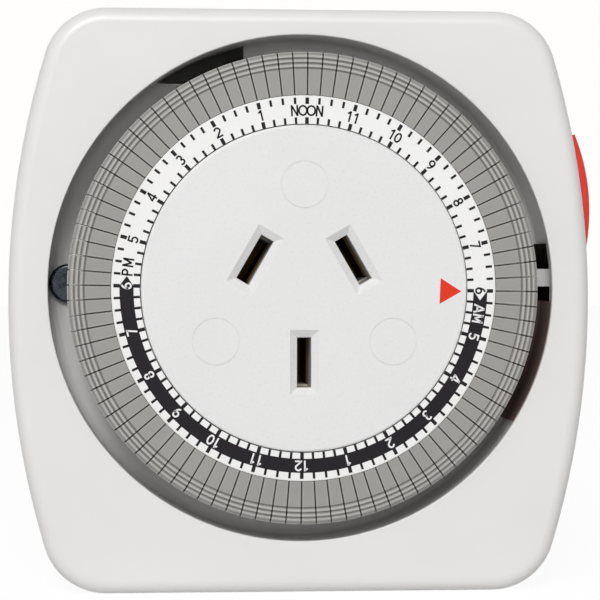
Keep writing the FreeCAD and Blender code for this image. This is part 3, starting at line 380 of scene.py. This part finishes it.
def on_front(radius, degrees, height):
    angle = math.radians(degrees)
    return Vector((radius * math.cos(angle), -height, radius * math.sin(angle)))


def tick(bm, inner, outer, angle, width, height):
    """A short radial mark of even width."""
    middle = math.radians(angle)
    out = Vector((math.cos(middle), 0, math.sin(middle)))
    across = Vector((-math.sin(middle), 0, math.cos(middle))) * width / 2
    lift = Vector((0, -height, 0))
    ends = [out * inner + across, out * outer + across, out * outer - across, out * inner - across]
    bm.faces.new([bm.verts.new(point + lift) for point in ends])


pen = 0.16                      # width of a stroke, of the letters' height
edge = pen / 2


def bow(x, z, wide, high, start, end):
    """Points along part of an ellipse, its angles in degrees from the right."""
    points = []
    for step in range(13):
        angle = math.radians(start + (end - start) * step / 12)
        points.append((x + wide * math.cos(angle), z + high * math.sin(angle)))
    return points


def half_turned(strokes):
    return [[(-x, 1 - z) for x, z in stroke] for stroke in strokes]


six = [bow(0, 0.33, 0.24, 0.25, 0, 360), bow(0.12, 0.33, 0.36, 0.59, 180, 92)]
glyphs = {
    "1": [[(0.05, 0), (0.05, 1)], [(-0.2, 0.74), (0.03, 0.93)]],
    "2": [bow(0, 0.67, 0.25, 0.25, 165, -35) + [(-0.24, 0.1)], [(-0.33, edge), (0.33, edge)]],
    "3": [bow(0, 0.71, 0.21, 0.21, 150, -90), bow(0, 0.29, 0.24, 0.21, 90, -150)],
    "4": [[(0.13, 0), (0.13, 1)], [(0.1, 0.97), (-0.29, 0.28)], [(-0.35, 0.27), (0.33, 0.27)]],
    "5": [[(0.28, 1 - edge), (-0.17, 1 - edge), (-0.21, 0.5)], bow(0, 0.34, 0.25, 0.26, 140, -150)],
    "6": six,
    "7": [[(-0.31, 1 - edge), (0.31, 1 - edge)], [(0.23, 0.93), (-0.06, 0)]],
    "8": [bow(0, 0.71, 0.2, 0.21, 0, 360), bow(0, 0.29, 0.24, 0.21, 0, 360)],
    "9": half_turned(six),
    "0": [bow(0, 0.5, 0.25, 0.42, 0, 360)],
    "N": [[(-0.25, 0), (-0.25, 1)], [(-0.24, 0.94), (0.24, 0.06)], [(0.25, 0), (0.25, 1)]],
    "O": [bow(0, 0.5, 0.36, 0.42, 0, 360)],
    "P": [[(-0.2, 0), (-0.2, 1)], [(-0.2, 0.92), (0.03, 0.92)] + bow(0.03, 0.7, 0.21, 0.22, 90, -90)
          + [(-0.2, 0.48)]],
    "M": [[(-0.3, 0), (-0.3, 1)], [(-0.29, 0.94), (0, 0.2)], [(0.29, 0.94), (0, 0.2)],
          [(0.3, 0), (0.3, 1)]],
    "A": [[(-0.34, 0), (-0.02, 0.97)], [(0.34, 0), (0.02, 0.97)], [(-0.23, 0.32), (0.23, 0.32)]],
}


def stroke_sides(points):
    """The two edges of a stroke along points, mitred where it bends."""
    closed = math.dist(points[0], points[-1]) < 1e-6
    last = len(points) - 1
    sides = []
    for place, (x, z) in enumerate(points):
        before = points[place - 1] if place else (points[last - 1] if closed else None)
        after = points[place + 1] if place < last else (points[1] if closed else None)
        normals = []
        for start, end in ((before, (x, z)), ((x, z), after)):
            if start is not None and end is not None:
                run = Vector((end[0] - start[0], end[1] - start[1])).normalized()
                normals.append(Vector((-run.y, run.x)))
        out = sum(normals, Vector((0, 0)))
        out *= edge / out.dot(normals[0])
        sides.append(((x + out.x, z + out.y), (x - out.x, z - out.y)))
    return sides


def add_glyph(bm, letter, cap_height, radius, angle, height):
    """One letter of the scale, its top outwards."""
    middle = math.radians(angle)
    out = Vector((math.cos(middle), 0, math.sin(middle)))
    along = Vector((math.sin(middle), 0, -math.cos(middle)))
    lift = Vector((0, -height, 0))

    def placed(point):
        x, z = point
        return bm.verts.new(out * (radius + (z - 0.5) * cap_height) + along * x * cap_height + lift)

    for stroke in glyphs[letter]:
        pairs = [[placed(point) for point in pair] for pair in stroke_sides(stroke)]
        for (left, right), (next_left, next_right) in zip(pairs, pairs[1:]):
            bm.faces.new([left, next_left, next_right, right])


def as_piece(name, bm, look, body):
    """Turn a finished mesh into a piece that rides on its body."""
    mesh = bpy.data.meshes.new(name)
    bm.to_mesh(mesh)
    bm.free()
    piece = bpy.data.objects.new(name, mesh)
    bpy.context.scene.collection.objects.link(piece)
    mesh.materials.append(look)
    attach(piece, body)
    print(name, "faces:", len(mesh.polygons))


def finished_print(name, bm, look, body):
    """Thicken a flat print to a layer of ink, and make it a piece of its body."""
    bmesh.ops.recalc_face_normals(bm, faces=bm.faces)
    away = [face for face in bm.faces if face.normal.y > 0]
    bmesh.ops.reverse_faces(bm, faces=away)
    bmesh.ops.solidify(bm, geom=bm.faces[:], thickness=ink)
    as_piece(name, bm, look, body)


# %% [markdown]
# ## The hour scale
#
# Ninety-six marks stand along each edge of the ring, one for every quarter of
# an hour, and the hour's marks are wider. The night half, from six to six
# through midnight, is a black band with the numbers left white. One end of
# the band comes to a point and the other is notched, so that each six stands
# half in the day and half in the night.

# %% Hour scale
hour_tick = 0.5 * mm
quarter_tick = 0.34 * mm
inner_tick = (scale_inner, scale_inner + 0.88 * mm)
outer_tick = (scale_outer - 1.12 * mm, scale_outer - 0.22 * mm)
band = (scale_inner + 0.86 * mm, scale_outer - 1.05 * mm)
digit_height = 1.5 * mm
letter_height = 1.55 * mm
text_radius = (band[0] + band[1]) / 2
night_start = 24
night_end = 72
point_length = 1.35 * mm
digit_step = 2.25

print_height = scale_front + ink
scale_print = bmesh.new()
for index in range(96):
    width = hour_tick if index % 4 == 0 else quarter_tick
    angle = quarter_angle(index)
    at_night = night_start <= index <= night_end
    inner_end = band[0] + 0.05 * mm if at_night else inner_tick[1]
    outer_start = band[1] - 0.05 * mm if at_night else outer_tick[0]
    tick(scale_print, inner_tick[0], inner_end, angle, width, print_height)
    tick(scale_print, outer_start, outer_tick[1], angle, width, print_height)


def add_night_band(bm):
    """The black band, as an inner and an outer row of faces that meet in the middle."""
    turn = math.degrees(point_length / text_radius)
    rows = []
    for radius, middle in ((band[0], False), (text_radius, True), (band[1], False)):
        angles = [quarter_angle(index) for index in range(night_start, night_end + 1)]
        if middle:
            angles[0] -= turn
            angles[-1] -= turn
        rows.append([bm.verts.new(on_front(radius, angle, print_height)) for angle in angles])
    for first, second in zip(rows, rows[1:]):
        for step in range(night_end - night_start):
            bm.faces.new([first[step], first[step + 1], second[step + 1], second[step]])


def add_word(bm, word, angle, height, step=digit_step, cap_height=digit_height):
    """A word along the ring, centred on an angle and read clockwise."""
    first = angle + step * (len(word) - 1) / 2
    for place, letter in enumerate(word):
        add_glyph(bm, letter, cap_height, text_radius, first - place * step, height)


add_night_band(scale_print)
night_print = bmesh.new()
white_height = print_height + ink
for hour in range(1, 24):
    number = str((hour - 1) % 12 + 1)
    if 6 <= hour < 18:
        add_word(night_print, number, quarter_angle(4 * hour), white_height)
    else:
        add_word(scale_print, number, quarter_angle(4 * hour), print_height)
add_word(scale_print, "NOON", noon_angle, print_height, 2.7, letter_height)
add_word(scale_print, "PM", quarter_angle(night_start) - 5.9, print_height, 3.2, letter_height)
add_word(night_print, "AM", quarter_angle(night_end) - 7.45, white_height, 3.2, letter_height)

finished_print("scale_print", scale_print, black_ink, "dial")
finished_print("night_print", night_print, white_ink, "dial")

# %% [markdown]
# ## The ring's outer edge
#
# The ring's white face runs out in a thin edge towards the segments, so that no
# dark line shows between them. It could be cut in the CAD model, but it is only
# a tenth of a millimetre wide, so it is a trim of the scene: a small profile
# with a slope, swept round the axis. The same function makes the next piece.

# %% The ring's outer edge
def swept(profile, start, end, steps):
    """A closed profile of radius and height, swept round the axis between two angles."""
    bm = bmesh.new()
    whole = end - start == 360
    rings = []
    for step in range(steps if whole else steps + 1):
        angle = start + (end - start) * step / steps
        rings.append([bm.verts.new(on_front(radius, angle, height)) for radius, height in profile])
    pairs = list(zip(rings, rings[1:]))
    if whole:
        pairs.append((rings[-1], rings[0]))
    else:
        bm.faces.new(rings[0])
        bm.faces.new(rings[-1])
    for first, second in pairs:
        for corner in range(len(profile)):
            after = (corner + 1) % len(profile)
            bm.faces.new([first[corner], first[after], second[after], second[corner]])
    bmesh.ops.recalc_face_normals(bm, faces=bm.faces)
    return bm


lip_start = scale_outer - 0.02 * mm
lip_end = scale_outer + 0.1 * mm
lip_under = scale_front - 0.12 * mm
lip_profile = [(lip_start, scale_front), (lip_end, scale_front - 0.03 * mm),
               (lip_end, lip_under), (lip_start, lip_under)]
as_piece("ring_lip", swept(lip_profile, 0, 360, 192), looks["dial_white"], "dial")

# %% [markdown]
# ## A painted shade strip in the gap
#
# On the right, below the white follower, the bottom and the side of the well
# are dark with shade. That shade is painted: a thin dark sheet lies there, bent
# up along the wall, over the end of the opening, where the follower has its
# hinge. Its flat part is lower than any segment's foot comes, so the dial turns
# freely above.
# It could be a box bent in the model, but it has one profile all along, so it
# is swept round the axis as the ring's edge is.

# %% Painted shade strip
well_radius = 35.5 * mm
well_floor = 28.0 * mm
sheet = 0.08 * mm               # thickness
clear = 0.02 * mm               # between the sheet and the moulding
strip_rise = 9.6 * mm
strip_inner = 31.5 * mm
strip_start = 328               # degrees, where it ends below
strip_end = 357                 # just short of the follower
bend = 1.2 * mm                 # radius of the bend at the floor
outside = [(strip_inner, well_floor + clear), (well_radius - bend, well_floor + clear),
           (well_radius - 0.3 * bend, well_floor + 0.35 * bend),
           (well_radius - clear, well_floor + bend),
           (well_radius - clear, well_floor + strip_rise)]


def inner_side(radius, height):
    """The sheet's other side, in from the wall and up from the floor."""
    along_wall = height > well_floor + 5 * clear
    on_floor = height < well_floor + bend
    return radius - sheet * along_wall, height + sheet * on_floor


inside = [inner_side(radius, height) for radius, height in outside]
strip = swept(outside + inside[::-1], strip_start, strip_end, strip_end - strip_start)
# a dark sheet whose colour is painted shade for the deep gap
as_piece("painted_shade_strip", strip, looks["strip_fibre"], "housing")

# %% [markdown]
# ## The red arrow
#
# The disc's arrow shows where on the dial to read the time. It is printed, so
# it is made as the scale is: a flat triangle just inside the disc's edge,
# thickened to a layer of ink. It rides on the housing, so it stays when the
# dial turns.

# %% Red arrow
arrow_tip = (21.9 * mm, -0.4 * mm)
arrow_top = (19.0 * mm, 1.45 * mm)
arrow_foot = (18.85 * mm, -2.15 * mm)
arrow = bmesh.new()
corners = [Vector((x, -disc_front - ink, z)) for x, z in (arrow_tip, arrow_top, arrow_foot)]
arrow.faces.new([arrow.verts.new(corner) for corner in corners])
finished_print("arrow_print", arrow, red_ink, "housing")

# %% [markdown]
# ## Floor
#
# The floor is white paper. More light would make it white, but would bleach the
# timer too. So what the camera sees of the paper, directly or in a mirror, is
# mostly a glow of its own, and the rest takes light and keeps the shadow.

# %% Floor
object_low = cad_box[0].z
half_floor = 3.0                # metres
paper_glow = 1.06
paper_share = 0.88              # of the glow, in what is seen
floor_corners = [(-half_floor, -half_floor), (half_floor, -half_floor),
                 (half_floor, half_floor), (-half_floor, half_floor)]
floor_mesh = bpy.data.meshes.new("floor")
floor_mesh.from_pydata([(x, y, object_low) for x, y in floor_corners], [], [(0, 1, 2, 3)])
floor = bpy.data.objects.new("floor", floor_mesh)
bpy.context.scene.collection.objects.link(floor)


def looked_at(tree):
    """1 for what the camera sees, also in a mirror or through glass, and 0 for light."""
    path = add_node(tree, "ShaderNodeLightPath")
    mirrored = calculate(tree, "MAXIMUM", path.outputs["Is Glossy Ray"],
                         path.outputs["Is Transmission Ray"])
    return calculate(tree, "MAXIMUM", path.outputs["Is Camera Ray"], mirrored)


floor_look, tree = new_material("floor")
shader = tree.nodes["Principled BSDF"]
shader.inputs["Base Color"].default_value = (0.75, 0.75, 0.75, 1)
shader.inputs["Roughness"].default_value = 0.9
glow = add_node(tree, "ShaderNodeEmission", Strength=paper_glow)
blend = add_node(tree, "ShaderNodeMixShader")
tree.links.new(calculate(tree, "MULTIPLY", looked_at(tree), paper_share), blend.inputs["Fac"])
tree.links.new(shader.outputs[0], blend.inputs[1])
tree.links.new(glow.outputs[0], blend.inputs[2])
tree.links.new(blend.outputs[0], tree.nodes["Material Output"].inputs["Surface"])
floor_mesh.materials.append(floor_look)

print("floor at z =", round(object_low / mm, 2), "mm")

# %% [markdown]
# ## Light
#
# Small white goods are photographed in a light room. Many lamps could stand for
# it, but the world's colour does it with less noise: brightest round the
# camera, a little left of it and below, so that light reaches down into the
# narrow gap round the dial, and dim at the sides and behind, so the object's
# sides turn to a thin grey line against the white paper. One soft box from
# above, a little to the left, gives the shadows.

# %% Light
bright_place = Vector((-0.33, -0.93, -0.13)).normalized()
camera_side = 1.07
flanks = 0.22
bright_edge = (0.5, 0.93)       # cosines from where the light grows to where it is full

world = bpy.data.worlds.new("studio")
bpy.context.scene.world = world
world.use_nodes = True
tree = world.node_tree
direction = add_node(tree, "ShaderNodeTexCoord")
towards = add_node(tree, "ShaderNodeVectorMath", operation="DOT_PRODUCT")
towards.inputs[1].default_value = bright_place
tree.links.new(direction.outputs["Generated"], towards.inputs[0])
room = smooth(tree, towards.outputs["Value"], *bright_edge, flanks, camera_side)
level = calculate(tree, "MAXIMUM", room, looked_at(tree))
background = tree.nodes["Background"]
background.inputs["Color"].default_value = (1.0, 0.99, 0.98, 1)
tree.links.new(level, background.inputs["Strength"])


def area_lamp(name, place, size, power):
    """A square soft box that looks at the middle of the object."""
    lamp = bpy.data.lights.new(name, "AREA")
    lamp.size = size
    lamp.energy = power
    holder = bpy.data.objects.new(name, lamp)
    holder.location = place
    holder.rotation_mode = "QUATERNION"
    holder.rotation_quaternion = (-Vector(place)).to_track_quat("-Z", "Y")
    bpy.context.scene.collection.objects.link(holder)
    print(name, "at", [round(part, 2) for part in place], "power", power)


area_lamp("key", (-0.33, -1.763, 1.058), 0.66, 23.4)

# %% [markdown]
# ## Camera
#
# The camera stands a little left of the dial's axis and just above it. Its
# place and lens were fitted to the circles of the dial, the slots and the
# housing's outline in the photograph, so it needs no shift.

# %% Camera
camera_place = Vector((-33.0, -400.0, 2.4)) * mm
azimuth = math.radians(5.16)
elevation = math.radians(0.64)
roll = math.radians(0.09)
forward = Vector((math.sin(azimuth) * math.cos(elevation),
                  math.cos(azimuth) * math.cos(elevation), -math.sin(elevation)))
camera = bpy.data.cameras.new("camera")
camera.sensor_width = 36.0
camera.lens = 2593.1 * camera.sensor_width / 600
camera.clip_start = 0.01
camera.clip_end = 20.0
view_point = bpy.data.objects.new("camera", camera)
bpy.context.scene.collection.objects.link(view_point)
right = forward.cross(Vector((0, 0, 1))).normalized()
up = right.cross(forward)
tipped_right = right * math.cos(roll) + up * math.sin(roll)
tipped_up = up * math.cos(roll) - right * math.sin(roll)
turn = Matrix((tipped_right, tipped_up, -forward)).transposed()
view_point.matrix_world = Matrix.Translation(camera_place) @ turn.to_4x4()
bpy.context.scene.camera = view_point
bpy.context.scene.view_settings.view_transform = "Standard"

print("lens", round(camera.lens, 1))
